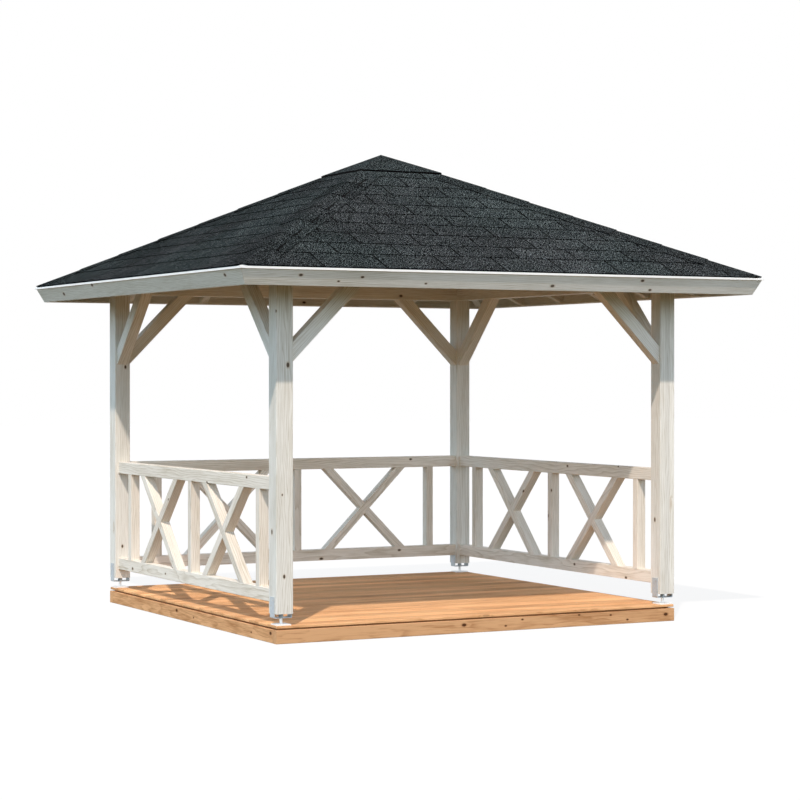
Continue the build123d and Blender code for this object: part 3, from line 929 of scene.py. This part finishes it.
def light():
    """A warm sun, a bluer sky, and white where the sky is seen itself."""
    data = bpy.data.lights.new("sun", "SUN")
    data.energy = SUN_STRENGTH
    data.angle = math.radians(SUN_SIZE)
    data.color = SUN_COLOUR
    linked("sun", data).rotation_euler = Vector(SUN_WAY).to_track_quat("Z", "Y").to_euler()
    world = bpy.data.worlds.new("studio")
    world.use_nodes = True
    bpy.context.scene.world = world
    t = Tree(world.node_tree)
    world.node_tree.nodes.clear()
    east, _, height = t.split(t.node("ShaderNodeTexCoord").outputs["Generated"])
    west = t.span(east, 0.0, -0.8)
    bands = [(level, t.mix(west, *colours)) for level, *colours in SKY] + [(1.0, ZENITH)]
    sky, below = HORIZON, 0.0
    for level, colour in bands:
        sky = t.mix(t.span(height, below, level), sky, colour)
        below = level
    fill = t.node("ShaderNodeBackground", sky, 1.0).outputs[0]
    white = t.node("ShaderNodeBackground", grey(1), 1.0).outputs[0]
    t.node("ShaderNodeOutputWorld",
           t.node("ShaderNodeMixShader", seen(t), fill, white).outputs[0])


def floor():
    """White to the camera but for a faint shadow. It sends dim, warm light up."""
    bm = bmesh.new()
    bmesh.ops.create_grid(bm, x_segments=8, y_segments=8, size=60)
    mesh = bpy.data.meshes.new("floor")
    bm.to_mesh(mesh)
    bm.free()
    made = linked("floor", mesh)
    look = bpy.data.materials.new("floor")
    look.use_nodes = True
    look.node_tree.nodes.clear()
    t = Tree(look.node_tree)
    white = t.node("ShaderNodeEmission", grey(1), 1.0).outputs[0]
    lit = t.node("ShaderNodeBsdfDiffuse", grey(FLOOR_LIT)).outputs[0]
    pale = t.node("ShaderNodeMixShader", FLOOR_SHADOW, white, lit).outputs[0]
    glow = t.node("ShaderNodeBsdfDiffuse", FLOOR_GLOW).outputs[0]
    t.node("ShaderNodeOutputMaterial",
           t.node("ShaderNodeMixShader", seen(t), glow, pale).outputs[0])
    mesh.materials.append(look)


# The gazebo ------------------------------------------------------------------

X, Y, Z = (1, 0, 0), (0, 1, 0), (0, 0, 1)
HALF_ROOT = math.sqrt(0.5)
HALVES = 1000.0                 # a pitch so long that only the two sides of zero differ
SHOE_HIGHLIGHT = 0.046              # the shoes are painted near-white below this height over their base: a painted highlight

# Knots that stand out: (place, radius)
KNOTS = {
    "post_front_left": (((-1.467, -1.55, 1.812), 0.011), ((-1.494, -1.55, 0.438), 0.0085),
                        ((-1.508, -1.55, 0.969), 0.005), ((-1.55, -1.48, 0.726), 0.011),
                        ((-1.55, -1.545, 2.161), 0.006)),
    "post_back_left": (((-1.467, 1.43, 1.809), 0.009), ((-1.494, 1.43, 0.437), 0.008)),
    "post_front_right": (((1.43, -1.482, 0.719), 0.010),),
    "wall_plate_back": (((0.91, 1.43, 2.391), 0.010),),
    "rails_left": (((-1.525, -1.013, 1.063), 0.008), ((-1.525, -0.324, 1.0), 0.008),
                   ((-1.525, 1.129, 0.289), 0.010), ((-1.525, 0.46, 0.303), 0.007),
                   ((-1.415, 0.946, 0.35), 0.007), ((-1.414, -0.888, 0.35), 0.007)),
    "rising_left": (((-1.525, 0.402, 0.846), 0.007),),
    "rails_back": (((1.012, 1.455, 1.06), 0.008), ((0.908, 1.455, 0.321), 0.009),
                   ((0.204, 1.455, 0.277), 0.010)),
    "rails_right": (((1.455, -0.261, 1.057), 0.008), ((1.455, -0.363, 0.319), 0.009),
                    ((1.455, -1.071, 0.273), 0.009), ((1.455, -0.968, 1.079), 0.006)),
    "falling_right": (((1.455, 0.397, 0.837), 0.008),),
    "studs_right": (((1.455, -0.025, 0.862), 0.007),),
    "fascia_front_back": (((-1.57, -1.972, 2.377), 0.009), ((-1.135, -1.97, 2.372), 0.008),
                          ((-1.299, -1.956, 2.343), 0.006), ((-0.668, -1.955, 2.34), 0.006),
                          ((0.291, -1.956, 2.342), 0.010), ((0.995, -1.978, 2.39), 0.009),
                          ((1.074, -1.949, 2.329), 0.008), ((0.276, 1.932, 2.343), 0.010)),
    "fascia_sides": (((-1.964, 1.417, 2.359), 0.013), ((-1.984, 0.74, 2.403), 0.013),
                     ((-1.973, -1.699, 2.38), 0.011)),
    "beams_front_back": (((-0.158, -1.55, 0.056), 0.011), ((1.478, -1.55, 0.05), 0.011),
                         ((0.167, -1.55, 0.034), 0.006), ((0.299, -1.55, 0.071), 0.006),
                         ((0.756, -1.55, 0.08), 0.006), ((1.016, -1.55, 0.067), 0.006),
                         ((1.155, -1.55, 0.028), 0.006)),
    "beams_sides": (((-1.55, 0.179, 0.063), 0.011), ((-1.55, -1.457, 0.063), 0.011),
                    ((-1.55, -0.139, 0.042), 0.006), ((-1.55, -1.145, 0.039), 0.006)),
}


def give(node, look):
    """The CAD node shows the material."""
    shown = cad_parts[node]
    shown.data.materials.clear()
    shown.data.materials.append(look)


def timber(node, *figure, **options):
    """The CAD node shows a wood of its own, with a shorter name than the node's."""
    name = node.removeprefix("railing_").replace("deck_beams", "beams")
    give(node, wood(name, *figure, **options))


def slanted(way, lean=1):
    """Directions along and square to a timber that rises at 45 degrees towards this way."""
    return (tuple((lean * a + b) * HALF_ROOT for a, b in zip(way, Z)),
            tuple((b - lean * a) * HALF_ROOT for a, b in zip(way, Z)))


def timbers():
    """Each CAD timber gets a wood with its grain along it."""
    sign_x, sign_y = (X, HALVES, 0.0), (Y, HALVES, 0.0)
    for corner in CORNERS:
        low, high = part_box("post_" + corner)
        timber("post_" + corner, "painted", Z, X, Y, (),
               lamella=(X, low.x, (high.x - low.x) / 3, 3))
    for side in SIDES:
        frontal = side in ("front", "back")
        along, out = (X, Y) if frontal else (Y, X)
        low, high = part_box("wall_plate_" + side)
        timber("wall_plate_" + side, "shaded", along, out, Z, (),
               lamella=(Z, low.z, (high.z - low.z) / 4, 4))
        timber("braces_" + side, "painted", *slanted([-value for value in along]), out,
               (sign_x if frontal else sign_y,), fold="x" if frontal else "y")
    rights = {"left": (0, -1, 0), "back": (-1, 0, 0), "right": (0, 1, 0)}
    for side, right in rights.items():
        along, out = (X, Y) if side == "back" else (Y, X)
        timber("railing_rails_" + side, "railing", along, out, Z, ((Z, 0.7, 0.0),))
        timber("railing_studs_" + side, "railing", Z, along, out, ((along, 1.19, 0.5),))
        for name, lean in (("rising", 1), ("falling", -1)):
            timber("railing_%s_%s" % (name, side), "railing", *slanted(right, lean), out,
                   ((along, HALVES, 0.0),))
    for node in ("long_rafters", "jack_rafters"):
        timber(node, "shaded", (COS, 0, -SIN), Y, (SIN, 0, COS), (sign_x, sign_y), fold="roof")
    fall = math.atan(math.tan(PITCH) * HALF_ROOT)
    flat, steep = math.cos(fall) * HALF_ROOT, math.sin(fall) * HALF_ROOT
    timber("hip_rafters", "shaded", (flat, flat, -math.sin(fall)), (HALF_ROOT, -HALF_ROOT, 0),
           (steep, steep, math.cos(fall)), (sign_x, sign_y), fold="xy")
    timber("king_post", "painted", Z, X, Y, ())
    for node, along, out, sign, fascia, beam in (
            ("front_back", X, Y, sign_y, "painted", "beams"),
            ("sides", Y, X, sign_x, "shaded", "side_beams")):
        timber("fascia_" + node, fascia, along, out, Z, (sign,))
        timber("deck_beams_" + node, beam, along, out, Z, (sign,))
    timber("deck_joists", "beams", Y, X, Z, ((X, 0.4967, 0.5),))


def main():
    camera()
    light()
    floor()
    timbers()
    roofing = [granule_material("granules", 1.0), granule_material("shingle_edges", 0.38),
               bitumen_and_shade_material()]
    zinc = metal_material("galvanized", (0.58, 0.63, 0.66), (0.44, 0.49, 0.53), 0.45, 90.0, 0.3,
                          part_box("post_shoe_front_left")[0].z + SHOE_HIGHLIGHT)
    for corner in CORNERS:
        give("post_shoe_" + corner, zinc)
    screw_steel = metal_material("screw_steel", (0.62, 0.62, 0.60), (0.45, 0.45, 0.44), 0.35, 400.0)
    lacquer = lacquer_material("white_lacquer", WHITE_AND_HIGHLIGHT)
    deck_boards(wood("deck_boards", "decking", X, Y, Z,
                     ((Y, BOARD_PITCH, -deck_low.y / BOARD_PITCH),)))
    lining = wood("roof_lining", "shaded", Y, X, Z, (), fold="roof")
    deck_screws(screw_steel)
    shoe_screws(screw_steel)
    for side in SIDES:
        roof_boards(side, lining)
        shingles(side, roofing)
        hip_caps(side, roofing)
        edge_strip(side, lacquer)
    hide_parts("drip_strip_front_back")
    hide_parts("drip_strip_sides")
    peak_cap(roofing)
    bpy.context.scene.view_settings.view_transform = "Standard"


main()
